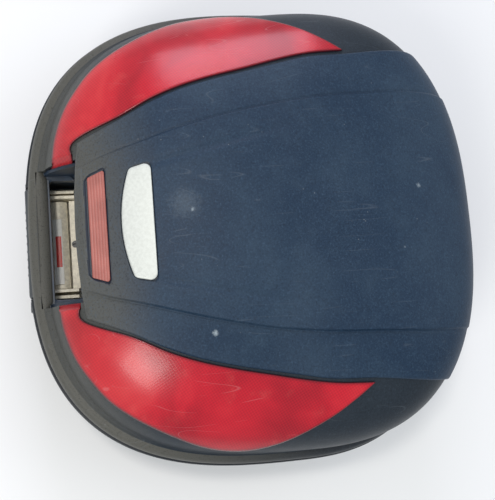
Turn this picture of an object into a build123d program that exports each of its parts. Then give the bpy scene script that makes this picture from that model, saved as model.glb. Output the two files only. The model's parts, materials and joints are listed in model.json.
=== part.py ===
from build123d import *
import math
import os

os.makedirs("parts", exist_ok=True)

# Hard motorcycle case: base tub, domed lid, one lock, one carry handle.
# Millimetres. +Z up, the case stands on its underside, lock and handle face -Y,
# the lid hinges at +Y, and X = 0 is the plane of symmetry.

# ---- driving dimensions -------------------------------------------------
HALF_W = 240.0          # rim half width
RIM_REAR = -227.5       # rim at the lock side
RIM_FRONT = 219.0       # rim at the hinge side
WIDEST_Y = 32.0         # where the plan is widest
N_REAR = 2.8            # roundness of the plan, lock half
N_FRONT = 2.6           # roundness of the plan, hinge half
PARTING_Z = 100.0       # lid underside
SEAL_GAP = 0.6          # base rim top to lid underside
DOME_Z = 104.0          # foot of the domed lid
DOME_H = 100.0          # height of the dome above its foot
DOME_HALF_W = 228.0
DOME_REAR = -211.0
DOME_FRONT = 222.0
SWELL_REAR = 2.35       # dome profile exponent, lock half
SWELL_FRONT = 4.2       # dome profile exponent, hinge half
SWELL_START = -60.0     # the exponent changes from here
SWELL_RUN = 250.0       # over this length
WALL = 3.0              # moulded wall
BAND_UP = 2.7           # cover's outer band above the dome
CROWN_UP = 5.5          # cover's middle above the dome

LID_AXIS_Y = 221.0      # lid hinge axis
LID_AXIS_Z = 100.0
HINGE_X = 112.0         # hinge centres at +/- this
PIN_R = 2.5
RUN_CLEAR = 0.05        # radial running clearance

WINDOW_X = 60.0         # hand opening, half width
WINDOW_REAR = -202.0
WINDOW_FRONT = -176.0
POCKET_Z = 56.0         # floor of the lock pocket

LEVER_AXIS_Y = -191.0
LEVER_AXIS_Z = 68.0
KEY_Y = -179.2
HOOK_AXIS_Y = -163.0
HOOK_AXIS_Z = 84.0

HANDLE_AXIS_Y = -222.5
HANDLE_AXIS_Z = 60.0
HANDLE_X = 56.0         # handle half width
HANDLE_TOP = 97.0

PLATE_X = 95.0          # underside mounting plate, half width
PLATE_REAR = -150.0
PLATE_FRONT = 120.0
BOLT_X = 140.0          # bolt spacing across
BOLT_Y = 100.0          # bolt spacing along
BOLT_R = 3.25
BOLT_Y0 = 40.0          # centre of the bolt pattern


# ---- plan curves and faceted bodies -------------------------------------
FACETS = 64             # facets round a plan
LEVELS = (0.0, 0.2, 0.4, 0.57, 0.71, 0.82, 0.9, 0.955, 0.985)


def plan_points(half_w, rear, front):
    """Points round a plan made of two superellipse halves."""
    points = []
    for i in range(FACETS):
        angle = 2 * math.pi * i / FACETS
        across, along = math.cos(angle), math.sin(angle)
        power = N_FRONT if along >= 0 else N_REAR
        depth = front - WIDEST_Y if along >= 0 else WIDEST_Y - rear
        reach = (abs(across / half_w) ** power + abs(along / depth) ** power) ** (-1 / power)
        points.append((reach * across, WIDEST_Y + reach * along))
    return points


def polygon(points):
    """Flat face through points in one plane."""
    return Face(Wire.make_polygon([Vector(*point) for point in points], close=True))


def faceted(rings):
    """Closed solid through rings of points, lowest ring first."""
    faces = [polygon(rings[0][::-1]), polygon(rings[-1])]
    for low, high in zip(rings, rings[1:]):
        for i in range(len(low)):
            j = (i + 1) % len(low)
            faces.append(polygon([low[i], low[j], high[j]]))
            faces.append(polygon([low[i], high[j], high[i]]))
    return Solid(Shell(faces))


def rim_ring(inset, z):
    """Rim plan moved inwards by an inset, at a height."""
    plan = plan_points(HALF_W - inset, RIM_REAR + inset, RIM_FRONT - inset)
    return [(x, y, z) for x, y in plan]


def rim_stack(steps):
    """Solid through rim plans given as (inset, height)."""
    return faceted([rim_ring(inset, z) for inset, z in steps])


def rim_slab(inset, z0, z1):
    """Flat slab with the rim plan."""
    return rim_stack([(inset, z0), (inset, z1)])


def dome(grow, foot=0.0):
    """Domed solid, moved outwards by grow."""
    plan = plan_points(DOME_HALF_W + grow, DOME_REAR - grow, DOME_FRONT + grow)
    rings = []
    if foot > 0:
        rings.append([(x, y, DOME_Z - foot) for x, y in plan])
    for level in LEVELS:
        ring = []
        z = DOME_Z + (DOME_H + grow) * level
        for x, y in plan:
            ahead = min(1.0, max(0.0, (y - SWELL_START) / SWELL_RUN))
            ahead = ahead * ahead * (3 - 2 * ahead)
            swell = SWELL_REAR + (SWELL_FRONT - SWELL_REAR) * ahead
            shrink = (1 - level ** swell) ** (1 / swell)
            ring.append((x * shrink, WIDEST_Y + (y - WIDEST_Y) * shrink, z))
        rings.append(ring)
    return faceted(rings)


def block(x0, x1, y0, y1, z0, z1):
    """Box between two corners."""
    box = Box(x1 - x0, y1 - y0, z1 - z0)
    return Pos((x0 + x1) / 2, (y0 + y1) / 2, (z0 + z1) / 2) * box


def rod_x(x0, x1, y, z, radius):
    """Cylinder along X."""
    return Pos((x0 + x1) / 2, y, z) * Rot(0, 90, 0) * Cylinder(radius, x1 - x0)


def rod_z(x, y, z0, z1, radius):
    """Cylinder along Z."""
    return Pos(x, y, (z0 + z1) / 2) * Cylinder(radius, z1 - z0)


def mirrored_outline(side, rear, front_y):
    """Closed plan outline from one side's points and the rear points."""
    points = list(rear[:-1]) + list(side) + [(side[-1][0], front_y)]
    points += [(-x, y) for x, y in reversed(points[len(rear) - 1:])][:-1]
    return polygon([(x, y, 0) for x, y in points])


def prism(face, z0, z1):
    """Upright prism over a plan face."""
    return extrude(Pos(0, 0, z0) * face, z1 - z0, dir=(0, 0, 1))


# ---- plan outlines of the trim ------------------------------------------
COVER_SIDE = [(84, -174), (101, -136), (116.5, -105), (128.5, -75), (137.5, -43), (145, -11),
              (151, 17), (157.5, 50), (160, 91), (165, 132), (168, 160)]
COVER_REAR = [(-84, -174), (-45, -178.5), (0, -180), (45, -178.5), (84, -174)]
CROWN_SIDE = [(59, -171), (67, -149), (76, -118), (86, -85), (94, -56), (101, -26),
              (107, 5), (113, 54), (115.5, 98), (117.5, 130), (119, 160)]
CROWN_REAR = [(-59, -171), (-30, -174), (0, -175), (30, -174), (59, -171)]
LENS_INNER = [(71, -178.5), (86, -176.5), (104.5, -133), (120.5, -102), (132, -72), (141, -40),
              (148.5, -8), (155, 20), (161, 53), (163.5, 88)]
LENS_OUTER = [(163.5, 88), (178, 72), (193, 50), (208, 22), (217, -2), (221, -26), (219, -50),
              (213, -72), (204, -92), (193, -113), (179, -136), (163, -156), (145, -171),
              (121, -186), (94, -195.5), (71, -199)]


def reflector_face(margin=0.0):
    """Plan of the centre reflector."""
    corners = [(-47 - margin, -167 - margin), (47 + margin, -167 - margin),
               (53 + margin, -151.5 + margin), (-53 - margin, -151.5 + margin)]
    return fillet(make_face(Polyline(*corners, close=True)).vertices(), 1.5 + margin)


def badge_face(margin=0.0):
    """Plan of the badge: straight front edge, bowed rear edge, round corners."""
    m = margin
    rear = ThreePointArc((-51 - m, -129 - m), (0, -138 - m), (51 + m, -129 - m))
    sides = Polyline((51 + m, -129 - m), (56 + m, -109 + m), (-56 - m, -109 + m), (-51 - m, -129 - m))
    return fillet(make_face([rear, sides]).vertices(), 5 + m)


def lens_face():
    """Plan of the right side lens."""
    return polygon([(x, y, 0) for x, y in LENS_INNER + LENS_OUTER[1:]])


# ---- shared bodies ------------------------------------------------------
DOME_OUT = dome(0.0)
DOME_IN = dome(-WALL, foot=6.0)
BAND = dome(BAND_UP)
CROWN = dome(CROWN_UP)
SKIN_FLOOR = dome(0.3, foot=10.0)


# ---- base ---------------------------------------------------------------
WALL_STEPS = [(52.0, 4.0), (40.0, 10.0), (30.0, 24.0), (18.0, 50.0), (9.0, 80.0), (7.0, 99.4)]


def base_shell():
    """Tub with a rim flange, open at the lock side for the lock pocket."""
    tub = rim_stack(WALL_STEPS)
    tub += rim_slab(0.0, 86.0, PARTING_Z - SEAL_GAP)
    inner = rim_stack([(inset + WALL, z + WALL) for inset, z in WALL_STEPS])
    tub -= inner
    groove = rim_slab(4.2, 97.2, 107) - rim_slab(8.3, 97.2, 107)
    keep_clear = block(-72, 72, -240, -150, 90, 110)
    tub -= groove - keep_clear
    tub -= block(-64, 64, -240, -217.5, 40, 110)
    tub -= block(-68.2, 68.2, -240, -170.8, POCKET_Z - 3.2, 110)
    for side in (-1, 1):
        x = side * HINGE_X
        tub -= block(x - 24, x + 24, 212.5, 240, 80, 110)
    tub -= block(-PLATE_X - 0.3, PLATE_X + 0.3, PLATE_REAR - 0.3, PLATE_FRONT + 0.3, -5, 4.5)
    for x in (-BOLT_X / 2, BOLT_X / 2):
        for y in (BOLT_Y0 - BOLT_Y / 2, BOLT_Y0 + BOLT_Y / 2):
            tub -= rod_z(x, y, -5, 20, BOLT_R)
    return tub


def lock_pocket():
    """Moulded pocket for lock and fingers, with the lugs of the handle."""
    outer = rim_stack([(inset + 1.0, z) for inset, z in WALL_STEPS])
    pocket = block(-68, 68, -217.5, -171, POCKET_Z - 3, 99.4) & outer
    pocket -= block(-64, 64, -207, -174, POCKET_Z, 110)
    return pocket


def handle_lug(side):
    """Lug below the rim that carries one handle pin."""
    lug = block(-5, 5, -227, -217.5, 53.2, 67)
    lug -= rod_x(-6, 6, HANDLE_AXIS_Y, HANDLE_AXIS_Z, 3.0)
    return Pos(side * 62, 0, 0) * lug


def rim_seal():
    """Rubber seal in the rim groove."""
    ring = rim_slab(4.3, 97.3, 99.7) - rim_slab(8.2, 97.3, 99.7)
    ring -= block(-72.3, 72.3, -240, -150, 90, 110)
    for side in (-1, 1):
        ring -= block(side * HINGE_X - 24.3, side * HINGE_X + 24.3, 212.2, 240, 80, 110)
    return ring


def lock_housing():
    """Lock body on the pocket floor: bearing cheeks, key bridge and ribs."""
    body = block(-62, 62, -206, -175, POCKET_Z + 0.1, POCKET_Z + 3)
    body += block(-46, 46, -183.5, -175, POCKET_Z + 3, 76)
    body -= rod_z(0, KEY_Y, POCKET_Z - 1, 90, 3.5 + RUN_CLEAR)
    for side in (-1, 1):
        body += block(side * 48.5 - 1.5, side * 48.5 + 1.5, -204, -178, POCKET_Z + 3, 84)
        body += block(side * 54.5 - 1.5, side * 54.5 + 1.5, -204, -178, POCKET_Z + 3, 80)
    body -= rod_x(-52, 52, LEVER_AXIS_Y, LEVER_AXIS_Z, 2.0)
    return body


def lever_pin():
    """Pivot pin of the lock lever."""
    return rod_x(-50.5, 50.5, LEVER_AXIS_Y, LEVER_AXIS_Z, 2.0 - 0.02)


def lock_lever():
    """Curved pull lever turning on its pin."""
    grip = rod_x(-45.5, 45.5, LEVER_AXIS_Y, LEVER_AXIS_Z, 3.0)
    crown = rod_x(-45.5, 45.5, -194.5, 62.0, 13.5) & block(-50, 50, -204.5, -185.5, 66, 90)
    grip += crown
    grip -= rod_x(-50, 50, LEVER_AXIS_Y, LEVER_AXIS_Z, 2.0 + RUN_CLEAR)
    grip -= block(-27.3, 41.3, -201.6, -191.6, 73.9, 80)
    return grip


def lever_label():
    """Plain inlay on the lever."""
    face = rod_x(-27, 41, -194.5, 62.0, 13.9) & block(-27, 41, -201.3, -191.9, 74.0, 90)
    return face - lever_mark_space()


def lever_mark_space():
    """Pocket of the coloured mark in the inlay."""
    return block(-9.1, 23.1, -198.9, -193.1, 75.1, 90)


def lever_mark():
    """Small plain coloured bar in the inlay."""
    bar = rod_x(-9, 23, -194.5, 62.0, 14.1) & block(-9, 23, -198.8, -193.2, 75.15, 90)
    return bar


def key_barrel():
    """Lock barrel with a key slot."""
    barrel = rod_z(0, KEY_Y, POCKET_Z + 4, 77.0, 3.5)
    barrel -= block(-0.5, 0.5, KEY_Y - 2.4, KEY_Y + 2.4, 72, 80)
    return barrel


def latch_hook():
    """Hook plate behind the pocket wall."""
    hook = rod_x(-7, 7, HOOK_AXIS_Y, HOOK_AXIS_Z, 5.5)
    hook += block(-7, 7, HOOK_AXIS_Y - 4, HOOK_AXIS_Y + 1, HOOK_AXIS_Z, 108)
    hook += block(-7, 7, HOOK_AXIS_Y - 6.5, HOOK_AXIS_Y + 1, 104, 109)
    hook -= rod_x(-10, 10, HOOK_AXIS_Y, HOOK_AXIS_Z, PIN_R + RUN_CLEAR)
    return hook


def hook_bracket():
    """Cheeks that carry the hook pin."""
    bracket = block(-14, 14, -170.9, -168.5, 68, 92)
    for side in (-1, 1):
        bracket += block(side * 10.5 - 2, side * 10.5 + 2, -170.9, -156, 76, 92)
    bracket -= rod_x(-14, 14, HOOK_AXIS_Y, HOOK_AXIS_Z, PIN_R)
    return bracket


def hook_pin():
    """Pivot pin of the hook."""
    return rod_x(-13.5, 13.5, HOOK_AXIS_Y, HOOK_AXIS_Z, PIN_R - 0.01)


def carry_handle():
    """Swing-out bail lying flush below the rim."""
    bar = block(-HANDLE_X, HANDLE_X, -227.3, -218.3, 82, HANDLE_TOP)
    for side in (-1, 1):
        bar += block(side * (HANDLE_X - 5) - 5, side * (HANDLE_X - 5) + 5, -227.3, -218.3, HANDLE_AXIS_Z, 84)
    bar = fillet(bar.edges().filter_by(Axis.X).group_by(Axis.Z)[-1], 2.5)
    bar = bar + rod_x(-HANDLE_X, -HANDLE_X + 10, HANDLE_AXIS_Y, HANDLE_AXIS_Z, 4.2)
    bar = bar + rod_x(HANDLE_X - 10, HANDLE_X, HANDLE_AXIS_Y, HANDLE_AXIS_Z, 4.2)
    for side in (-1, 1):
        ends = sorted((side * HANDLE_X, side * (HANDLE_X - 8)))
        bar -= rod_x(*ends, HANDLE_AXIS_Y, HANDLE_AXIS_Z, 3.0 + RUN_CLEAR)
    return bar


def handle_pin(side):
    """Pivot pin of the handle, pressed in its lug."""
    x0, x1 = side * (HANDLE_X - 7.5), side * 66.8
    return rod_x(min(x0, x1), max(x0, x1), HANDLE_AXIS_Y, HANDLE_AXIS_Z, 3.0 - 0.02)


# ---- underside ----------------------------------------------------------
def mount_plate():
    """Underside plate with bolt holes and the catch channel."""
    plate = block(-PLATE_X, PLATE_X, PLATE_REAR, PLATE_FRONT, 0, 4.3)
    plate = fillet(plate.edges().filter_by(Axis.Z), 12)
    for x in (-BOLT_X / 2, BOLT_X / 2):
        for y in (BOLT_Y0 - BOLT_Y / 2, BOLT_Y0 + BOLT_Y / 2):
            plate -= rod_z(x, y, -1, 6, BOLT_R)
    plate -= block(-23, 23, PLATE_REAR - 1, -60, -1, 10)
    for side in (-1, 1):
        plate -= block(side * 45 - 14, side * 45 + 14, 96, 108, -1, 10)
    return plate


def release_button():
    """Push button that frees the case from its rack."""
    button = block(-21, 21, -176, -158, 1.0, 3.6)
    button += block(-10, 10, -160, -112, 1.0, 3.6)
    return button


def release_catch():
    """Steel tongue that engages the rack."""
    tongue = block(-16, 16, -111.5, -72, 1.0, 3.6)
    tongue -= block(-9, 9, -100, -80, 0, 5)
    return tongue


def foot(x, y):
    """Rubber foot below the tub."""
    return rod_z(x, y, 0.0, 3.9, 11.0)


# ---- inside -------------------------------------------------------------
def luggage_strap():
    """Retaining webbing over the floor."""
    strap = block(-122, -17, -12.5, 12.5, 15.0, 16.6)
    strap += block(17, 122, -12.5, 12.5, 15.0, 16.6)
    return strap


def strap_anchor():
    """Foot that holds the right end of the webbing."""
    anchor = block(116, 140, -17, 17, 7.1, 14.7)
    anchor += block(118, 139, -17, 17, 14.6, 19.0)
    anchor -= block(115, 122.3, -12.8, 12.8, 14.8, 16.9)
    return anchor


def strap_buckle():
    """Side release buckle of the webbing."""
    buckle = block(-26, 26, -15, 15, 13.0, 19.5)
    buckle = fillet(buckle.edges().filter_by(Axis.Z), 4)
    buckle -= block(-30, -16.5, -12.8, 12.8, 14.8, 16.8)
    buckle -= block(16.5, 30, -12.8, 12.8, 14.8, 16.8)
    return buckle


# ---- lid ----------------------------------------------------------------
def lid_shell():
    """Domed lid with a rounded rim bead and the cut-out for the hand recess."""
    lid = DOME_OUT + rim_stack([(3.0, PARTING_Z), (2.6, 105.0), (4.5, 110.0), (10.0, 113.5)])
    lid -= DOME_IN
    lid -= block(-67, 67, -240, -173, 112.3, 220)
    lid -= block(-67, 67, -209, -173, 90, 120)
    for side in (-1, 1):
        x = side * HINGE_X
        lid -= block(x - 24, x + 24, 212.5, 240, 90, 107)
    return lid


def recess_frame():
    """Walls and lip of the hand recess below the cover."""
    frame = block(-66.7, 66.7, -208.7, -173.3, PARTING_Z, 210) & dome(-0.6, foot=6.0)
    frame -= block(-63.5, 63.5, -240, -176.3, 112.0, 220)
    frame -= block(-WINDOW_X, WINDOW_X, WINDOW_REAR, WINDOW_FRONT, 90, 120)
    return frame


def cover_panel():
    """Stepped cover over the lid, with pockets for reflector and badge."""
    cover = mirrored_outline(COVER_SIDE, COVER_REAR, 240)
    crown = mirrored_outline(CROWN_SIDE, CROWN_REAR, 240)
    body = (prism(cover, 150, 230) & BAND) + (prism(crown, 150, 230) & CROWN)
    body -= SKIN_FLOOR
    body -= prism(reflector_face(1.2), 100, 230) - dome(0.9)
    body -= prism(badge_face(0.3), 100, 230) - dome(3.6)
    return body


def centre_reflector():
    """Narrow reflector set in the cover."""
    return (prism(reflector_face(), 120, 230) & dome(4.6)) - dome(1.0)


def badge_plate():
    """Plain bowed plate on the cover."""
    return (prism(badge_face(), 120, 230) & dome(7.0)) - dome(3.7)


def side_lens():
    """Wrap-round lens of the right side."""
    return (prism(lens_face(), 112, 230) & dome(2.2)) - SKIN_FLOOR


def lid_striker():
    """Steel loop on the recess wall that the hook takes."""
    loop = block(-16, 16, -173.0, -171.2, 100.5, 140)
    loop -= block(-10, 10, -175, -168, 101, 116)
    return loop


# ---- hinges -------------------------------------------------------------
def base_leaf(x):
    """Hinge leaf on the base, with two outer knuckles."""
    leaf = block(x - 22, x + 22, 209.6, 212.4, 82, 96)
    leaf -= block(x - 30, x + 30, 200, 211, 80, 99)
    for offset_x in (-15, 15):
        knuckle = rod_x(x + offset_x - 6, x + offset_x + 6, LID_AXIS_Y, LID_AXIS_Z, 5.5)
        arm = block(x + offset_x - 6, x + offset_x + 6, 212.6, LID_AXIS_Y + 2, 84, 98)
        leaf += knuckle + arm
    leaf += block(x - 22, x + 22, 212.6, 215.0, 82, 93)
    leaf &= block(x - 23, x + 23, 212.6, 240, 80, 120)
    leaf -= rod_x(x - 30, x + 30, LID_AXIS_Y, LID_AXIS_Z, PIN_R)
    return leaf


def lid_leaf(x):
    """Hinge leaf on the lid, with one middle knuckle."""
    leaf = rod_x(x - 8.6, x + 8.6, LID_AXIS_Y, LID_AXIS_Z, 5.5)
    leaf += block(x - 8.6, x + 8.6, 213.2, LID_AXIS_Y, 101.5, 105.5)
    leaf += block(x - 8.6, x + 8.6, 209.0, 214.5, 102.5, 106.8) - block(x - 30, x + 30, 200, 212.8, 90, 120)
    leaf += block(x - 20, x + 20, 213.2, 215.6, 106.9 - 4, 106.8)
    leaf -= rod_x(x - 30, x + 30, LID_AXIS_Y, LID_AXIS_Z, PIN_R + RUN_CLEAR)
    return leaf


def hinge_pin(x):
    """Pin through one hinge."""
    return rod_x(x - 21.5, x + 21.5, LID_AXIS_Y, LID_AXIS_Z, PIN_R - 0.01)


# ---- export -------------------------------------------------------------
PARTS = {
    "base_shell": base_shell(),
    "lock_pocket": lock_pocket(),
    "rim_seal": rim_seal(),
    "lock_housing": lock_housing(),
    "lever_pin": lever_pin(),
    "lock_lever": lock_lever(),
    "lever_label": lever_label(),
    "lever_mark": lever_mark(),
    "key_barrel": key_barrel(),
    "latch_hook": latch_hook(),
    "hook_bracket": hook_bracket(),
    "hook_pin": hook_pin(),
    "carry_handle": carry_handle(),
    "mount_plate": mount_plate(),
    "release_button": release_button(),
    "release_catch": release_catch(),
    "luggage_strap": luggage_strap(),
    "strap_buckle": strap_buckle(),
    "lid_shell": lid_shell(),
    "recess_frame": recess_frame(),
    "cover_panel": cover_panel(),
    "centre_reflector": centre_reflector(),
    "badge_plate": badge_plate(),
    "lid_striker": lid_striker(),
}
LENS = side_lens()
for name, side in (("left", -1), ("right", 1)):
    PARTS["side_lens_" + name] = LENS if side > 0 else mirror(LENS, Plane.YZ)
    PARTS["hinge_base_leaf_" + name] = base_leaf(side * HINGE_X)
    PARTS["hinge_lid_leaf_" + name] = lid_leaf(side * HINGE_X)
    PARTS["hinge_pin_" + name] = hinge_pin(side * HINGE_X)
    PARTS["handle_pin_" + name] = handle_pin(side)
    PARTS["handle_lug_" + name] = handle_lug(side)
    PARTS["strap_anchor_" + name] = strap_anchor() if side > 0 else mirror(strap_anchor(), Plane.YZ)
    PARTS["foot_rear_" + name] = foot(side * 120, -100)
    PARTS["foot_front_" + name] = foot(side * 120, 120)

for node, shape in PARTS.items():
    export_step(shape, "parts/" + node + ".step")
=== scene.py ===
"""Hard motorcycle case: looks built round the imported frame.

Lengths in the code are millimetres until build() turns them into metres. Heights of the moulded shells come
from one dome formula, the same for every skin. The camera and the lamps are in metres."""
import json
import math

import bmesh
import bpy
import numpy as np
from mathutils import Matrix, Vector


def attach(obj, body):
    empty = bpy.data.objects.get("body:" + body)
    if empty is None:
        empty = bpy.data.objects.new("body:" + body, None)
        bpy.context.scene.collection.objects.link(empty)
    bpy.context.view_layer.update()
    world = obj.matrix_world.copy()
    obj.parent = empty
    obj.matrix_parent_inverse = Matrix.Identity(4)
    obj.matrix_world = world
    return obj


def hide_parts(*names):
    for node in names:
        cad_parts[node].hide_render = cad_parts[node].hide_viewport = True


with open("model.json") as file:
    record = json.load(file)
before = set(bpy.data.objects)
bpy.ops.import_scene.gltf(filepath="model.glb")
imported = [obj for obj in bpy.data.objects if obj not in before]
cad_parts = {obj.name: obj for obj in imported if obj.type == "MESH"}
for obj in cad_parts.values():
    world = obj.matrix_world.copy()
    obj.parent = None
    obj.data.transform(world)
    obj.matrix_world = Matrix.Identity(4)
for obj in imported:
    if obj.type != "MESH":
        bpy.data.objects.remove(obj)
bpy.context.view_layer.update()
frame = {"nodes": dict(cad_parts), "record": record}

MM = 0.001

# The rim's plan: half width, lock side, hinge side, and the line where it is widest.
HALF_W, RIM_REAR, RIM_FRONT, WIDEST_Y = 240.0, -227.5, 219.0, 32.0
# Exponents of the plan's outline on the lock side and the hinge side.
N_REAR, N_FRONT = 2.8, 2.6
DOME_Z, DOME_H, DOME_HALF_W, DOME_REAR, DOME_FRONT = 104.0, 100.0, 228.0, -211.0, 222.0
# The dome's profile exponent grows from SWELL_LOW by SWELL_GAIN over SWELL_RUN, starting at SWELL_START.
SWELL_LOW, SWELL_GAIN, SWELL_START, SWELL_RUN = 2.35, 1.85, -60.0, 250.0
WALL = 3.0
# How far the cover's side bands and its raised middle stand above the dome.
BAND_UP, CROWN_UP = 2.7, 5.5
HINGE_X, HINGE_SLOT_HALF = 112.0, 24
# Spacing of the lens prisms.
PRISM = 2.4


# ---------------------------------------------------------------- the dome
def reach(angle, half_w, rear, front):
    """Distance from the plan's centre to a superellipse outline in a direction; arrays allowed."""
    across, along = np.cos(angle), np.sin(angle)
    power = np.where(along >= 0, N_FRONT, N_REAR)
    depth = np.where(along >= 0, front - WIDEST_Y, WIDEST_Y - rear)
    return (np.abs(across / half_w) ** power + np.abs(along / depth) ** power) ** (-1 / power)


def rim_reach(angle, inset):
    """Distance to the rim's outline, moved inwards by inset."""
    return reach(angle, HALF_W - inset, RIM_REAR + inset, RIM_FRONT - inset)


def dome_reach(angle, grow):
    """Distance to the dome's foot, moved outwards by grow."""
    return reach(angle, DOME_HALF_W + grow, DOME_REAR - grow, DOME_FRONT + grow)


def swell(angle, grow):
    """Exponent of the dome's profile in a direction: fuller towards the hinge side."""
    t = np.clip((WIDEST_Y + dome_reach(angle, grow) * np.sin(angle) - SWELL_START) / SWELL_RUN, 0, 1)
    return SWELL_LOW + SWELL_GAIN * t * t * (3 - 2 * t)


def dome(x, y, grow=0.0):
    """Height of the dome, moved outwards by grow, over a plan point: a superellipse profile every way."""
    angle = np.arctan2(y - WIDEST_Y, x)
    ratio = np.hypot(x, y - WIDEST_Y) / dome_reach(angle, grow)
    power = swell(angle, grow)
    return DOME_Z + (DOME_H + grow) * np.clip(1 - np.minimum(ratio, 1) ** power, 0, None) ** (1 / power)


# ---------------------------------------------------------------- shader maths
class Sig:
    """A varying number in a shader; arithmetic on it adds Math nodes."""

    def __init__(self, tree, socket):
        self.tree, self.socket = tree, socket

    def _math(self, op, *others, clamp=False):
        """One Math node on this signal and others, which may be numbers."""
        node = self.tree.nodes.new("ShaderNodeMath")
        node.operation, node.use_clamp = op, clamp
        for slot_in, value in zip(node.inputs, (self, *others)):
            if isinstance(value, Sig):
                self.tree.links.new(value.socket, slot_in)
            else:
                slot_in.default_value = value
        return Sig(self.tree, node.outputs[0])

    def _swapped(self, op, other):
        """One Math node with a plain number before this signal."""
        node = self.tree.nodes.new("ShaderNodeMath")
        node.operation = op
        node.inputs[0].default_value = other
        self.tree.links.new(self.socket, node.inputs[1])
        return Sig(self.tree, node.outputs[0])

    def __add__(self, other):
        return self._math("ADD", other)

    def __radd__(self, other):
        return self._math("ADD", other)

    def __sub__(self, other):
        return self._math("SUBTRACT", other)

    def __rsub__(self, other):
        return self._swapped("SUBTRACT", other)

    def __mul__(self, other):
        return self._math("MULTIPLY", other)

    def __rmul__(self, other):
        return self._math("MULTIPLY", other)

    def __truediv__(self, other):
        return self._math("DIVIDE", other)

    def __pow__(self, other):
        return self._math("POWER", other)

    def abs(self):
        return self._math("ABSOLUTE")

    def sin(self):
        return self._math("SINE")

    def fract(self):
        return self._math("FRACT")

    def min(self, other):
        return self._math("MINIMUM", other)

    def clamp(self):
        """Held between 0 and 1."""
        return self._math("ADD", 0.0, clamp=True)

    def step(self, low, high):
        """0 below low, 1 above high, smooth between."""
        node = self.tree.nodes.new("ShaderNodeMapRange")
        node.interpolation_type = "SMOOTHSTEP"
        self.tree.links.new(self.socket, node.inputs["Value"])
        node.inputs["From Min"].default_value = low
        node.inputs["From Max"].default_value = high
        return Sig(self.tree, node.outputs[0])


class Paint:
    """One Principled material with helpers for its procedural signals."""

    def __init__(self, name, base, rough=0.5, metal=0.0, coat=0.0, coat_rough=0.05,
                 specular=0.5, sheen=0.0):
        self.mat = bpy.data.materials.new(name)
        self.mat.use_nodes = True
        self.tree = self.mat.node_tree
        self.bsdf = next(n for n in self.tree.nodes if n.type == "BSDF_PRINCIPLED")
        self.put("Base Color", (*base, 1.0))
        self.put("Roughness", rough)
        self.put("Metallic", metal)
        self.put("Coat Weight", coat)
        self.put("Coat Roughness", coat_rough)
        self.put("Specular IOR Level", specular)
        self.put("Sheen Weight", sheen)
        self.mat.diffuse_color = (*base, 1.0)

    def put(self, socket, value):
        """Sets an input of the material, or links a signal to it."""
        if isinstance(value, Sig):
            self.tree.links.new(value.socket, self.bsdf.inputs[socket])
        elif hasattr(value, "is_output"):
            self.tree.links.new(value, self.bsdf.inputs[socket])
        else:
            self.bsdf.inputs[socket].default_value = value

    def node(self, kind, out=0, links=None, **values):
        """Adds any node; values set sockets by name, links joins them."""
        made = self.tree.nodes.new(kind)
        for key, value in values.items():
            if key.startswith("p_"):
                setattr(made, key[2:], value)
            else:
                made.inputs[key.replace("_", " ")].default_value = value
        for key, value in (links or {}).items():
            self.tree.links.new(value.socket if isinstance(value, Sig) else value, made.inputs[key])
        return made.outputs[out]

    def place(self, sx=1.0, sy=1.0, sz=1.0, turn=(0, 0, 0)):
        """Object coordinates in millimetres, scaled and turned."""
        coord = self.node("ShaderNodeTexCoord", out="Object")
        return self.node("ShaderNodeMapping", links={"Vector": coord}, p_vector_type="POINT",
                         Scale=(1000 * sx, 1000 * sy, 1000 * sz), Rotation=turn)

    def axes(self):
        """The three object coordinates in millimetres."""
        made = self.tree.nodes.new("ShaderNodeSeparateXYZ")
        self.tree.links.new(self.place(), made.inputs[0])
        return [Sig(self.tree, o) for o in made.outputs]

    def noise(self, scale, detail=3.0, rough=0.5, vector=None, warp=0.0):
        """Cloudy noise; scale is in features for each millimetre."""
        out = self.node("ShaderNodeTexNoise", out=0, links={"Vector": vector or self.place()},
                        Scale=scale, Detail=detail, Roughness=rough, Distortion=warp)
        return Sig(self.tree, out)

    def cells(self, scale):
        """Distance to the nearest of many scattered points."""
        out = self.node("ShaderNodeTexVoronoi", out="Distance", links={"Vector": self.place()}, Scale=scale)
        return Sig(self.tree, out)

    def mix(self, factor, a, b):
        """Colour a to colour b by factor; each is a tuple or a colour socket."""
        made = self.tree.nodes.new("ShaderNodeMix")
        made.data_type = "RGBA"
        self.tree.links.new(factor.socket, made.inputs["Factor"])
        for value, key in ((a, 6), (b, 7)):
            if isinstance(value, tuple):
                made.inputs[key].default_value = (*value, 1.0)
            else:
                self.tree.links.new(value, made.inputs[key])
        return made.outputs[2]

    def bump(self, height, strength=0.3, distance=0.0005):
        """Fine relief from a height signal."""
        out = self.node("ShaderNodeBump", links={"Height": height}, Strength=strength, Distance=distance)
        self.put("Normal", out)


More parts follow.
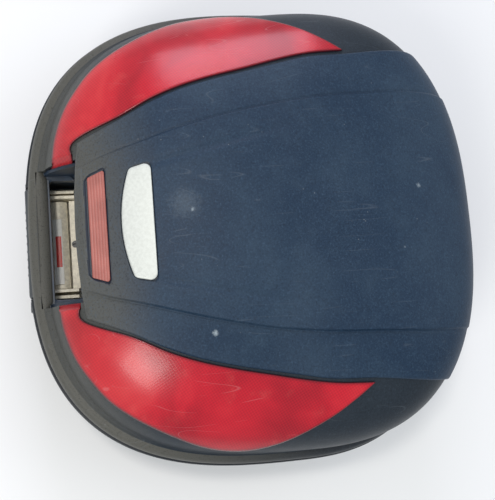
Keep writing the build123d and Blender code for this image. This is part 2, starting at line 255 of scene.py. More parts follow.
def moulded_plastic(name, base, faded, rough=0.5, grain=1.0, dust=0.25, tail=None, scuffs=()):
    """Fine grained moulded plastic: leathery micro grain, cloudy fading, pale dust and sparse scratches."""
    p = Paint(name, base, rough, specular=0.28)
    cloud = p.noise(0.012, 4.0, 0.55)
    fine = p.noise(0.09, 5.0, 0.6)
    fade = (cloud.step(0.35, 0.72) * 0.55 + fine.step(0.45, 0.8) * 0.25)
    colour = p.mix(fade.clamp(), base, faded)
    if tail:
        tint, near, far, amount = tail
        _, y, _ = p.axes()
        reached = (y + cloud * 40.0 - 20.0).step(near, far)
        colour = p.mix((reached * amount).clamp(), colour, tint)
    speckle = p.noise(0.55, 3.0, 0.7)
    bright = tuple(c * 1.5 for c in faded)
    colour = p.mix((speckle.step(0.50, 0.75) * 0.55 * grain).clamp(), colour, bright)
    colour = p.mix((speckle.step(0.50, 0.25) * 0.60 * grain).clamp(), colour, tuple(c * 0.35 for c in base))
    specks = p.cells(0.10).step(0.085, 0.03) * p.noise(0.02, 2.0).step(0.5, 0.62)
    colour = p.mix((specks * dust).clamp(), colour, (0.30, 0.32, 0.33))
    for turn, scale in ((0.45, 0.05), (-0.7, 0.06), (1.25, 0.045)):
        hair = p.noise(scale, 0.0, 0.5, p.place(1.0, 0.03, 1.0, (0, 0, turn)))
        where = p.noise(0.022, 1.0, 0.5, p.place(1.0, 1.0, 1.0, (turn, 0, 0))).step(0.57, 0.66)
        line = (1.0 - ((hair - 0.5).abs() * 160.0).min(1.0)) * where
        colour = p.mix((line * 0.11).clamp(), colour, (0.26, 0.29, 0.32))
    if scuffs:
        x, y, z = p.axes()
        broken = p.noise(0.35, 3.0, 0.7)
        for at_x, at_y, size, amount in scuffs:
            at = (at_x, at_y, float(dome(at_x, at_y, 4.0)))
            away = ((x - at[0]).abs() ** 2.0 + (y - at[1]).abs() ** 2.0 + (z - at[2]).abs() ** 2.0) ** 0.5
            worn = (away + broken * size * 1.4).step(size * 1.7, size * 0.8)
            colour = p.mix((worn * amount).clamp(), colour, (0.50, 0.58, 0.62))
    p.put("Base Color", colour)
    p.put("Roughness", (fade * 0.10 + fine * 0.10 + (rough - 0.05)).clamp())
    height = p.cells(0.8) * 0.6 + speckle * 0.8
    p.bump(height * grain, 0.35, 0.0003)
    return p


def lens_plastic(name):
    """Glossy red reflector: crossed prism rows, darker deep down and dulled in patches; darker near its
    borders, with painted shade on the right lens's sloped end wall.
    """
    p = Paint(name, (0.50, 0.012, 0.025), 0.2, coat=0.15, coat_rough=0.14, specular=0.32)
    x, y, _ = p.axes()
    one = ((x * 0.87 + y * 0.5) / PRISM).fract() - 0.5
    two = ((y * 0.87 - x * 0.5) / PRISM).fract() - 0.5
    prism = one.abs() + two.abs()
    cloud = p.noise(0.011, 3.0, 0.55, warp=0.6)
    patchy = p.noise(0.035, 4.0, 0.6)
    glow = prism.step(0.12, 0.85) * 0.30 + cloud.step(0.3, 0.7) * 0.6
    colour = p.mix(glow.clamp(), (0.26, 0.002, 0.012), (0.64, 0.012, 0.028))
    dull = patchy.step(0.52, 0.80) * 0.12 + cloud.step(0.56, 0.75) * 0.10
    dull = dull + y.step(-90.0, -190.0) * 0.10
    colour = p.mix(dull.clamp(), colour, (0.72, 0.17, 0.13))
    scratch = 0.0
    for turn in (0.75, -0.5):
        hair = p.noise(0.06, 0.0, 0.5, p.place(1.0, 0.04, 1.0, (0, 0, turn)))
        where = p.noise(0.024, 1.0, 0.5, p.place(1.0, 1.0, 1.0, (turn, 0, 0))).step(0.56, 0.64)
        scratch = (1.0 - ((hair - 0.5).abs() * 150.0).min(1.0)) * where + scratch
    colour = p.mix((scratch * 0.13).clamp(), colour, (0.75, 0.45, 0.45))
    # Darker near the lens's borders; through the same attribute, the right lens's sloped end wall is darkened
    # as painted shade.
    border = Sig(p.tree, p.node("ShaderNodeAttribute", out="Fac", p_attribute_name="border"))
    outline = border.step(4.0, 1.0) * 0.45 + border.step(1.5, 0.7) * 0.5
    colour = p.mix(outline.clamp(), colour, (0.05, 0.003, 0.008))
    p.put("Base Color", colour)
    p.put("Roughness", (dull * 0.6 + scratch * 0.2 + 0.24).clamp())
    p.bump(prism * 0.6 + patchy * 0.15, 0.14, 0.0004)
    return p


def plain(name, base, rough, metal=0.0, noise_scale=0.08, spread=0.15, bump=0.05, coat=0.0):
    """Even surface with slight cloudy change in tone and gloss."""
    p = Paint(name, base, rough, metal, coat=coat)
    n = p.noise(noise_scale, 4.0, 0.6)
    dark = tuple(c * (1 - spread) for c in base)
    pale = tuple(min(1.0, c * (1 + spread) + 0.01 * spread) for c in base)
    p.put("Base Color", p.mix(n.step(0.3, 0.7), dark, pale))
    p.put("Roughness", (n * 0.2 + (rough - 0.1)).clamp())
    if bump:
        p.bump(p.noise(0.9, 3.0), bump, 0.0003)
    return p


def ribbed_plastic(name, base):
    """Dull reflector face: pale ribs one way, fine cross lines the other, faintly clouded."""
    p = Paint(name, base, 0.4)
    x, y, _ = p.axes()
    ribs = (y * (math.pi / 1.3)).sin() * 0.5 + 0.5
    cross = (x * (math.pi / 1.6)).sin().abs().step(0.0, 0.5)
    shade = ribs * 0.25 + p.noise(0.05, 3.0).step(0.3, 0.7) * 0.4
    colour = p.mix(shade.clamp(), tuple(c * 0.72 for c in base), tuple(c * 1.25 for c in base))
    colour = p.mix(((1.0 - cross) * 0.3).clamp(), colour, tuple(c * 0.6 for c in base))
    p.put("Base Color", colour)
    p.put("Roughness", (ribs * 0.15 + 0.33).clamp())
    p.bump(ribs, 0.2, 0.0003)
    return p


def webbing(name, base):
    """Woven strap: crossed ribs in a herringbone beat."""
    p = Paint(name, base, 0.8, sheen=0.3)
    x, y, _ = p.axes()
    ribs = (x * 2.6).sin().abs() * 0.6 + (y * 2.2 + (x * 0.9).sin() * 1.4).sin().abs() * 0.6
    p.put("Base Color", p.mix(ribs.clamp(), tuple(c * 0.4 for c in base), base))
    p.bump(ribs, 0.6, 0.0005)
    return p


# Warm grey tint mixed into the shell, cover and rim, growing towards the rear.
REAR_TINT = (0.098, 0.095, 0.080)
SHELL = moulded_plastic("shell_plastic", (0.010, 0.017, 0.026), (0.021, 0.031, 0.043), 0.45,
                        tail=(REAR_TINT, -95.0, -190.0, 0.65))
TUB = moulded_plastic("tub_plastic", (0.011, 0.017, 0.025), (0.022, 0.030, 0.040), 0.48)
COVER = moulded_plastic("cover_plastic", (0.008, 0.025, 0.054), (0.028, 0.054, 0.088), 0.48, 1.0, 0.3,
                        (REAR_TINT, -95.0, -178.0, 0.85),
                        [(112, 213, 8.0, 0.9), (107, -60, 4.0, 0.6), (-8, -73, 3.0, 0.6),
                         (-14, -80, 20.0, 0.06), (-22, 150, 3.0, 0.3), (38, 128, 2.0, 0.4)])
RIM = moulded_plastic("rim_plastic", (0.016, 0.020, 0.026), (0.034, 0.040, 0.046), 0.48, 1.0, 0.4,
                      (REAR_TINT, 90.0, -150.0, 0.9))
FLANGE = moulded_plastic("flange_plastic", (0.012, 0.015, 0.020), (0.022, 0.027, 0.032), 0.42, 0.8, 0.3)
INNER = moulded_plastic("inner_plastic", (0.016, 0.018, 0.021), (0.026, 0.028, 0.031), 0.6, 0.6, 0.1)
FRAME = plain("recess_plastic", (0.013, 0.025, 0.045), 0.4, spread=0.3, bump=0.15)
# Darker paint for the cover's trim pockets: painted shade in the grooves.
GROOVE_SHADE = plain("groove_shade_plastic", (0.008, 0.015, 0.028), 0.4, spread=0.3, bump=0.1)
LENS = lens_plastic("lens_red")
STEEL = plain("zinc_steel", (0.52, 0.53, 0.55), 0.32, 1.0, 0.3, 0.12, 0.03)
RUBBER = plain("seal_rubber", (0.018, 0.018, 0.018), 0.75, bump=0.1)
HANDLE = plain("handle_plastic", (0.050, 0.056, 0.062), 0.42, spread=0.25, bump=0.2)
SILVER = plain("lever_silver", (0.85, 0.79, 0.64), 0.42, 0.1, 0.2, 0.15, 0.08)
LABEL = plain("label_pale", (0.95, 0.94, 0.88), 0.4, 0.0, 0.2, 0.05, 0.0)
MARK = plain("mark_red", (0.75, 0.05, 0.04), 0.35, 0.0, 0.2, 0.1, 0.0)
BADGE = plain("badge_silver", (0.60, 0.62, 0.58), 0.46, 0.2, 0.35, 0.07, 0.10)
REFLECTOR = ribbed_plastic("reflector_red", (0.44, 0.14, 0.115))
STRAP = webbing("strap_webbing", (0.045, 0.045, 0.05))
BUTTON = plain("button_red", (0.42, 0.03, 0.02), 0.4)


# ---------------------------------------------------------------- surfaces
def smooth(t):
    """0 to 1 with a soft start and end."""
    t = np.clip(t, 0, 1)
    return t * t * (3 - 2 * t)


def curve_through(points, count):
    """Smooth curve through points, evenly spaced by chord: a Catmull-Rom spline."""
    p = np.array(points, float)
    p = np.vstack([2 * p[0] - p[1], p, 2 * p[-1] - p[-2]])
    out = []
    for i in range(1, len(p) - 2):
        t = np.linspace(0, 1, 24, endpoint=False)[:, None]
        a, b, c, d = p[i - 1], p[i], p[i + 1], p[i + 2]
        square = 2 * a - 5 * b + 4 * c - d
        cubic = 3 * b - a - 3 * c + d
        out.append(0.5 * (2 * b + (c - a) * t + square * t ** 2 + cubic * t ** 3))
    line = np.vstack([*out, p[-2:-1]])
    run = np.concatenate([[0], np.cumsum(np.hypot(*np.diff(line, axis=0).T))])
    at = np.linspace(0, run[-1], count)
    return np.stack([np.interp(at, run, line[:, k]) for k in range(line.shape[1])], 1)


def build(name, verts, faces, body, paint, stands_for=(), slot=None, angle=35.0, border=None):
    """Mesh object from millimetre vertices, normals outward, smooth with sharp creases kept."""
    mesh = bpy.data.meshes.new(name)
    mesh.from_pydata((np.asarray(verts, float) * MM).tolist(), [], [list(map(int, f)) for f in faces])
    if border is not None:
        mesh.attributes.new("border", "FLOAT", "POINT").data.foreach_set("value", np.asarray(border, float))
    bm = bmesh.new()
    bm.from_mesh(mesh)
    bmesh.ops.remove_doubles(bm, verts=bm.verts, dist=1e-6)
    bmesh.ops.dissolve_degenerate(bm, edges=bm.edges, dist=1e-7)
    bmesh.ops.recalc_face_normals(bm, faces=bm.faces)
    bm.to_mesh(mesh)
    bm.free()
    obj = bpy.data.objects.new(name, mesh)
    bpy.context.collection.objects.link(obj)
    obj.data.materials.append(paint.mat)
    finish_shading(obj, angle)
    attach(obj, body)
    if stands_for:
        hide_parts(*stands_for)
    return obj


def finish_shading(obj, angle=35.0):
    """Smooth shading that stays sharp where faces meet at more than angle."""
    obj.data.shade_smooth()
    obj.data.set_sharp_from_angle(angle=math.radians(angle))


def strip_faces(rows, cols, wrap):
    """Quads of a grid of rows by cols, closed round the columns when wrap."""
    i, j = np.meshgrid(np.arange(rows - 1), np.arange(cols if wrap else cols - 1), indexing="ij")
    here, beside = i * cols + j, i * cols + (j + 1) % cols
    return np.stack([here, beside, beside + cols, here + cols], -1).reshape(-1, 4).tolist()


def tube_faces(rows, cols):
    """Quads through a row of rings, with the last ring joined back to the first."""
    here = np.arange(cols)
    after = np.roll(here, -1)
    last = (rows - 1) * cols
    closing = np.stack([last + here, last + after, after, here], -1)
    return strip_faces(rows, cols, True) + closing.tolist()


def shell_of_rings(rings):
    """Closed skin through rings; the first and last close on a centre point."""
    count = len(rings[0])
    verts = np.vstack(rings + [rings[0].mean(0)[None], rings[-1].mean(0)[None]])
    first = len(rings) * count
    start = first - count
    here = np.arange(count)
    after = np.roll(here, -1)
    opening = np.stack([np.full(count, first), after, here], -1)
    ending = np.stack([np.full(count, first + 1), start + here, start + after], -1)
    caps = np.stack([opening, ending], 1).reshape(-1, 3)
    return verts, strip_faces(len(rings), count, True) + caps.tolist()


def slab(top, bottom):
    """Closed solid between two grids of points with the same rows and columns."""
    rows, cols = top.shape[:2]
    verts = np.vstack([top.reshape(-1, 3), bottom.reshape(-1, 3)])
    n = rows * cols
    upper = np.array(strip_faces(rows, cols, False))
    grid = np.arange(n).reshape(rows, cols)
    rim = np.concatenate([grid[0], grid[1:, -1], grid[-1, -2::-1], grid[-2:0:-1, 0]])
    after = np.roll(rim, -1)
    sides = np.stack([after, rim, n + rim, n + after], -1)
    return verts, np.concatenate([upper, upper[:, ::-1] + n, sides]).tolist()


def face_values(obj, what):
    """A vector of every face, as three arrays."""
    flat = np.empty(3 * len(obj.data.polygons), np.float32)
    obj.data.polygons.foreach_get(what, flat)
    return flat.reshape(-1, 3).astype(float).T


def paint_faces(obj, paints, index):
    """Adds more materials and gives each face its number: 0 is the piece's first one."""
    for paint in paints:
        obj.data.materials.append(paint.mat)
    obj.data.polygons.foreach_set("material_index", index.astype(np.int32))


def eased(count, power=2.2):
    """0 to 1, denser at both ends."""
    t = np.linspace(-1, 1, count)
    return 0.5 + 0.5 * np.sign(t) * (1 - (1 - np.abs(t)) ** power)


def edge_drop(distance, radius):
    """How far a rounded edge falls below the face at a distance from the border."""
    d = np.clip(distance / radius, 0, 1)
    return radius * (1 - np.sqrt(1 - (1 - d) ** 2))


def cut(obj, boxes):
    """Cuts boxes, given by two corners in millimetres, out of a closed piece."""
    for low, high in boxes:
        bpy.ops.mesh.primitive_cube_add(size=1)
        tool = bpy.context.active_object
        low, high = Vector(low) * MM, Vector(high) * MM
        grow = Matrix.Diagonal((*(high - low), 1))
        tool.data.transform(Matrix.Translation((low + high) / 2) @ grow)
        mod = obj.modifiers.new("cut", "BOOLEAN")
        mod.operation, mod.solver, mod.object = "DIFFERENCE", "EXACT", tool
        graph = bpy.context.evaluated_depsgraph_get()
        made = bpy.data.meshes.new_from_object(obj.evaluated_get(graph))
        obj.modifiers.clear()
        obj.data = made
        bpy.data.objects.remove(tool)
    finish_shading(obj)


def soft_box(low, high, radius, segments=3):
    """Vertices and faces of a box with rounded edges."""
    bm = bmesh.new()
    bmesh.ops.create_cube(bm, size=1)
    low, high = Vector(low), Vector(high)
    grow = Matrix.Translation((low + high) / 2) @ Matrix.Diagonal((*(high - low), 1))
    bmesh.ops.transform(bm, matrix=grow, verts=bm.verts)
    bmesh.ops.bevel(bm, geom=bm.edges[:], offset=radius, segments=segments, affect="EDGES", profile=0.5)
    bm.verts.index_update()
    verts = np.array([v.co[:] for v in bm.verts])
    faces = [tuple(v.index for v in f.verts) for f in bm.faces]
    bm.free()
    return verts, faces


def joined(*parts):
    """Several vertex and face lists as one."""
    verts, faces, base = [], [], 0
    for v, f in parts:
        verts.append(v)
        faces += [tuple(base + i for i in q) for q in f]
        base += len(v)
    return np.vstack(verts), faces


# ---------------------------------------------------------------- lid skin
ROUND = 320
THETA = np.linspace(0, 2 * math.pi, ROUND, endpoint=False)


def ring(distance, z):
    """Points all round the plan's centre at a distance and a height."""
    return np.stack([distance * np.cos(THETA), WIDEST_Y + distance * np.sin(THETA), z + 0 * THETA], 1)


def dome_ring(tilt, grow):
    """Ring of the dome at a profile angle: 0 at the crown, 90 degrees at the foot."""
    power = swell(THETA, grow)
    distance = dome_reach(THETA, grow) * np.sin(tilt) ** (2 / power)
    return ring(distance, DOME_Z + (DOME_H + grow) * np.cos(tilt) ** (2 / power))


# The lid's rim bead: how far in from the rim, height, and how far clear of the dome's foot (in double).
LID_BEAD = [(13.4, 118.4, 0.0), (12.4, 116.3, 0.05), (11.3, 115.5, 0.15), (9.0, 115.1, 0.45),
            (6.6, 114.2, 0.7), (4.9, 112.6, 0.85), (3.6, 110.2, 0.95), (2.9, 107.2, 1.0),
            (2.7, 104.0, 1.0), (3.0, 101.4, 0.95), (3.9, 100.3, 0.8), (5.2, 100.0, 0.6)]
SEAL_FACE_Z = 100.0
# Half width of the hand recess where the lid is cut for it, and a height above everything.
RECESS_CUT, ABOVE = 68.3, 220
BEAD_TOP = 115.4


def lid_skin():
    """Outer dome, a soft slope to a rolled bead round the rim, the sealing face and the inner dome."""
    tilts = np.radians(np.concatenate([np.linspace(2, 70, 36), np.linspace(71.5, 83.0, 14)]))
    rings = [dome_ring(t, 0.0) for t in tilts]
    for inset, z, out in LID_BEAD:
        clear = dome_reach(THETA, 0.0) + 2.0 * out - 0.2
        rings.append(ring(np.maximum(rim_reach(THETA, inset), clear), z))
    rings.append(ring(dome_reach(THETA, -WALL) + 0.6, SEAL_FACE_Z))
    rings.append(ring(dome_reach(THETA, -WALL), SEAL_FACE_Z + 0.6))
    rings += [dome_ring(t, -WALL) for t in np.radians(np.linspace(89.9, 3, 30))]
    verts, faces = shell_of_rings(rings)
    obj = build("lid_skin", verts, faces, "lid", SHELL, ["lid_shell"], "shell_black")
    # The hand recess, the step in front of it, and room under the sloped lens ends.
    holes = [((-RECESS_CUT, -205.0, 90), (RECESS_CUT, -173, ABOVE)),
             ((-RECESS_CUT, -215.2, 109.5), (RECESS_CUT, -204.9, ABOVE)),
             ((-LENS_CREST, -198.3, 112.9), (LENS_CREST, -178.6, ABOVE))]
    for side in (-1, 1):
        x = side * HINGE_X
        holes.append(((x - HINGE_SLOT_HALF, 212.5, 90), (x + HINGE_SLOT_HALF, 240, 107)))
    cut(obj, holes)
    x, y, z = face_values(obj, "center") / MM
    away = np.hypot(x, y - WIDEST_Y) - dome_reach(np.arctan2(y - WIDEST_Y, x), -0.6)
    bead = (z < BEAD_TOP) & (away > -0.5)
    inside = (away < 0) & (z < dome(x, y, -1.5))
    paint_faces(obj, [RIM, INNER], np.select([bead, inside], [1, 2], 0))
    return obj


# ---------------------------------------------------------------- cover
COVER_SIDE = [(84, -174), (101, -136), (116.5, -105), (128.5, -75), (137.5, -43), (145, -11), (151, 17),
              (157.5, 50), (160, 91), (165, 132), (168, 160), (168.5, 200), (168.5, 240)]
CROWN_SIDE = [(55, -180), (59, -171), (67, -149), (76, -118), (86, -85), (94, -56), (101, -26), (107, 5),
              (113, 54), (115.5, 98), (117.5, 130), (119, 160), (119, 240)]
COVER_LINE = curve_through(COVER_SIDE, 400)
CROWN_LINE = curve_through(CROWN_SIDE, 400)
CREASE = 0.66
BADGE_REAR, BADGE_BOW, BADGE_FRONT = -138.0, 9.0, -109.0
BADGE_REAR_HALF, BADGE_FRONT_HALF, BADGE_CORNER = 51.0, 56.0, 5.0
GLASS_REAR, GLASS_FRONT = -167.0, -151.2
GLASS_REAR_HALF, GLASS_FRONT_HALF, GLASS_CORNER = 47, 53.0, 1.5
VALLEY_WIDTH, VALLEY_DEPTH = 3.6, 1.3
STREAK_WIDTH, STREAK_DEPTH = 9.0, 0.45
FOOT_DEPTH, GLASS_DEPTH, BADGE_DEPTH = 0.55, 2.9, 1.3
# The cover ends where it has come down to this height at the front.
COVER_END_Z = 152.0


def half_width(line, y):
    """Half width at y of an outline given as points."""
    return np.interp(y, line[:, 1], line[:, 0])


def rounded_gap(across, along, radius):
    """Distance outside the corner of two borders, rounded by radius; negative inside."""
    a, b = across + radius, along + radius
    return np.hypot(np.maximum(a, 0), np.maximum(b, 0)) + np.minimum(np.maximum(a, b), 0) - radius


def badge_rear(x):
    """The badge's bowed rear edge: a parabola."""
    return BADGE_REAR + BADGE_BOW * (x / BADGE_REAR_HALF) ** 2


def badge_gap(x, y):
    """Distance outside the badge's bowed outline, negative inside."""
    side = np.abs(x) - (BADGE_FRONT_HALF + (BADGE_FRONT - y) * -0.22)
    return rounded_gap(side, np.maximum(badge_rear(x) - y, y - BADGE_FRONT), BADGE_CORNER)


def glass_gap(x, y):
    """Distance outside the centre reflector's outline, stretched for a sloping surround."""
    side = np.abs(x) - (GLASS_FRONT_HALF + (GLASS_FRONT - y) * -0.38)
    along = np.maximum((GLASS_REAR - y) * 0.34, y - GLASS_FRONT)
    return rounded_gap(side * 0.45, along, GLASS_CORNER)


def cover_height(x, y):
    """The stepped cover: side bands, a raised middle, shallow valleys and the two trim pockets."""
    edge = half_width(CROWN_LINE, y) - np.abs(x)
    rise = smooth(edge / 1.9 + 0.5) * smooth((y + 173.5) / 2.5)
    step_up = (CROWN_UP - BAND_UP) * (1 - 0.6 * smooth((y - 110) / 80))
    inner = 54 + (y + 108) * 0.24
    valley = np.exp(-((np.abs(x) - inner) / VALLEY_WIDTH) ** 2)
    valley = valley * smooth((y + 112) / 12) * smooth((60 - y) / 110) * VALLEY_DEPTH
    slant = (x + 60) * 0.7 - (y - 90) * 0.714
    streak = np.exp(-(slant / STREAK_WIDTH) ** 2) * smooth((y - 20) / 40) * smooth((175 - y) / 30)
    height = dome(x, y, BAND_UP + step_up * rise) - valley - STREAK_DEPTH * streak
    height = height - GLASS_DEPTH * smooth((1.5 - glass_gap(x, y)) / 1.3)
    foot = np.exp(-((edge + 1.6) / 1.0) ** 2) * smooth((y + 165) / 12) * smooth((190 - y) / 40)
    return height - FOOT_DEPTH * foot - BADGE_DEPTH * smooth((1.2 - badge_gap(x, y)) / 0.7)


def cover_x(share, y):
    """Distance from the middle for a share of the way to the edge; CREASE is always the crown's edge."""
    crown, edge = half_width(CROWN_LINE, y), half_width(COVER_LINE, y)
    size = np.abs(share)
    inside = crown * size / CREASE
    outside = crown + (edge - crown) * (size - CREASE) / (1 - CREASE)
    return np.sign(share) * np.where(size < CREASE, inside, outside)


def front_edge(across):
    """How far forward the cover reaches before it has come down to its lower edge: found by halving."""
    low, high = np.full_like(across, 100.0), np.full_like(across, 228.0)
    for _ in range(40):
        middle = (low + high) / 2
        above = cover_height(cover_x(across, middle), middle) > COVER_END_Z
        low, high = np.where(above, middle, low), np.where(above, high, middle)
    return low


def cover():
    """Grid across and along the cover, fine at the trim; the along lines run on down over the front edge."""
    beside_crease = CREASE + np.linspace(-0.035, 0.035, 17)
    last_steps = 1 - np.array([0.017, 0.011, 0.007, 0.004, 0.002, 0])
    crown, band = np.linspace(0, 0.62, 58), np.linspace(0.705, 0.975, 16)
    half = np.concatenate([crown, beside_crease, band, last_steps])
    u = np.concatenate([-half[:0:-1], half])
    split = -104.0
    near, far = np.linspace(0, 1, 90)[:, None], np.linspace(0, 1, 80)[1:, None]
    end = front_edge(u)
    rear = -180.0 + 6.0 * u ** 2
    trim = rear + (split - rear) * (0.4 * near + 0.6 * near ** 0.8)
    y = np.concatenate([trim, split + (end - split) * (1 - (1 - far) ** 1.7)])
    y[:4] = rear + np.array([0.0, 0.25, 0.7, 1.4])[:, None]
    x = cover_x(u, y)
    side = half_width(COVER_LINE, y) - np.abs(x)
    drop = edge_drop(np.minimum(side, y - rear) + 0.02, 2.2)
    under = dome(x, y, 0.3)
    top = np.stack([x, y, np.maximum(cover_height(x, y) - drop, under + 0.2)], -1)
    low = np.stack([x, y, under], -1)
    low[-1, :, 1] -= 4.0
    verts, faces = slab(top, low)
    obj = build("cover_skin", verts, faces, "lid", COVER, ["cover_panel"], "cover_black", 50.0)
    x, y, _ = face_values(obj, "center") / MM
    # Faces in the trim pockets round the centre reflector and the badge get the darker paint: painted shade.
    pocket = (y < -100) & ((glass_gap(x, y) < 1.2) | (badge_gap(x, y) < 0.9))
    paint_faces(obj, [GROOVE_SHADE], pocket)
    return obj


# ---------------------------------------------------------------- lenses
LENS_END, LENS_CREST, LENS_FALL = 67.6, 74.5, 11.5
# Top of the lip round the hand recess.
LIP_Z = 110.6
LENS_ROWS, LENS_COLUMNS, LENS_POINTS = 170, 60, 600
LENS_INNER = [(67.6, -178.5), (86, -176.5), (104.5, -133), (120.5, -102), (132, -72), (141, -40),
              (148.5, -8), (155, 20), (161, 53), (163.5, 88)]
LENS_OUTER = [(67.6, -199.5), (94, -195.5), (121, -186), (145, -171), (163, -156), (179, -136),
              (193, -113), (204, -92), (213, -72), (219, -50), (221, -26), (217, -2), (208, 22),
              (193, 50), (178, 72), (164.5, 90)]


def lens(side):
    """Wrap-round lens between its cover edge and its lower edge, with a deep end wall at the hand recess."""
    along = eased(LENS_ROWS, 1.7)
    over = eased(LENS_COLUMNS, 1.8)
    inner = curve_through(LENS_INNER, LENS_POINTS)
    outer = curve_through(LENS_OUTER, LENS_POINTS)
    at = np.linspace(0, 1, LENS_POINTS)
    inner = np.stack([np.interp(along, at, inner[:, k]) for k in (0, 1)], 1)
    outer = np.stack([np.interp(along, at, outer[:, k]) for k in (0, 1)], 1)
    xy = inner[:, None] * (1 - over)[None, :, None] + outer[:, None] * over[None, :, None]
    width = np.hypot(*(outer - inner).T)[:, None]
    run = np.concatenate([[0], np.cumsum(np.hypot(*np.diff((inner + outer) / 2, axis=0).T))])[:, None]
    sides = np.minimum(over * width, (1 - over) * width)
    border = np.minimum(sides, run[-1] - run)
    x, y = xy[..., 0], xy[..., 1]
    fall = np.clip((LENS_CREST - x) / (LENS_CREST - LENS_END), 0, 1)
    z = dome(x, y, 2.6) - edge_drop(np.minimum(border, run) + 0.02, 2.0) - LENS_FALL * fall ** 1.25
    top = np.stack([side * x, y, z], -1)
    low = np.stack([side * x, y, np.minimum(z, dome(x, y, 0.7)) - 0.4 - 2.0 * fall], -1)
    verts, faces = slab(top, low)
    name = "right" if side > 0 else "left"
    # The right lens's sloped end wall gets a border value of 1.9, which darkens its paint: painted shade.
    border_with_end_shade = np.where((fall > 0.02) & (side > 0), 1.9, border).ravel()
    border_with_end_shade = np.concatenate([border_with_end_shade, border_with_end_shade])
    stands_for = ["side_lens_" + name]
    return build("lens_skin_" + name, verts, faces, "lid", LENS, stands_for, "lens_red", 50.0, border_with_end_shade)


# ---------------------------------------------------------------- trim
def rounded_outline(corners, radius, count=24):
    """Closed outline with each corner turned into an arc."""
    p = np.array(corners, float)
    out = []
    for i in range(len(p)):
        a, b, c = p[i - 1], p[i], p[(i + 1) % len(p)]
        d1, d2 = (a - b) / np.hypot(*(a - b)), (c - b) / np.hypot(*(c - b))
        half = math.acos(np.clip(d1 @ d2, -1, 1)) / 2
        r = radius if np.isscalar(radius) else radius[i]
        start, end = b + d1 * r / math.tan(half), b + d2 * r / math.tan(half)
        centre = b + (d1 + d2) / np.hypot(*(d1 + d2)) * r / math.sin(half)
        a0, a1 = math.atan2(*(start - centre)[::-1]), math.atan2(*(end - centre)[::-1])
        turn = (a1 - a0 + math.pi) % (2 * math.pi) - math.pi
        for t in np.linspace(0, 1, count):
            out.append(centre + r * np.array([math.cos(a0 + turn * t), math.sin(a0 + turn * t)]))
    line = np.array(out + [out[0]])
    run = np.concatenate([[0], np.cumsum(np.hypot(*np.diff(line, axis=0).T))])
    at = np.linspace(0, run[-1], 241)[:-1]
    return np.stack([np.interp(at, run, line[:, k]) for k in (0, 1)], 1)


def plaque(outline, top_of, low_of, radius):
    """Plate over a closed outline: rings from the middle outwards with a rounded edge, then the underside."""
    middle = outline.mean(0)
    deep = np.abs(outline[:, 1] - middle[1]).max()
    shares = np.concatenate([np.linspace(0.04, 0.9, 16), 1 - (1 - np.linspace(0.3, 1, 9)) ** 1.6 * 0.1])
    shares = np.unique(np.clip(shares, 0, 1))
    rings = []
    for s in shares:
        xy = middle + (outline - middle) * s
        gap = np.hypot(*((outline - middle) * (1 - s)).T)
        slim = np.minimum(gap, (1 - s) * deep + (1 - s) * 4)
        rings.append(np.column_stack([xy, top_of(xy[:, 0], xy[:, 1]) - edge_drop(slim + 0.01, radius)]))
    for s in shares[::-1]:
        xy = middle + (outline - middle) * s
        rings.append(np.column_stack([xy, low_of(xy[:, 0], xy[:, 1])]))
    return shell_of_rings(rings)


def badge():
    """Bowed plain plate."""
    bow = [(x, badge_rear(x)) for x in np.linspace(-BADGE_REAR_HALF, BADGE_REAR_HALF, 15)]
    corners = [*bow, (BADGE_FRONT_HALF, BADGE_FRONT), (-BADGE_FRONT_HALF, BADGE_FRONT)]
    radii = [5.0] + [2.0] * 13 + [5.0, 6.0, 6.0]
    line = rounded_outline(corners, radii, 10)
    verts, faces = plaque(line, lambda x, y: dome(x, y, 7.0), lambda x, y: dome(x, y, 4.4), 1.1)
    return build("badge_skin", verts, faces, "lid", BADGE, ["badge_plate"], "badge_silver")


def ribbed_top(x, y):
    """Top of the centre reflector: the dome with fine ribs, one every 2.6 mm."""
    return dome(x, y, 4.5) + 0.25 * np.sin(y * 2 * math.pi / 2.6)


def reflector():
    """Narrow reflector with lengthwise ribs."""
    corners = [(-GLASS_REAR_HALF, GLASS_REAR), (GLASS_REAR_HALF, GLASS_REAR),
               (GLASS_FRONT_HALF, GLASS_FRONT), (-GLASS_FRONT_HALF, GLASS_FRONT)]
    line = rounded_outline(corners, 2.0)
    verts, faces = plaque(line, ribbed_top, lambda x, y: dome(x, y, 1.2), 0.8)
    return build("reflector_skin", verts, faces, "lid", REFLECTOR, ["centre_reflector"], "reflector_red")


RECESS_FLOOR_Z, RECESS_HALF = 100.4, 68
WALL_POINTS, FRONT_POINTS = 50, 80


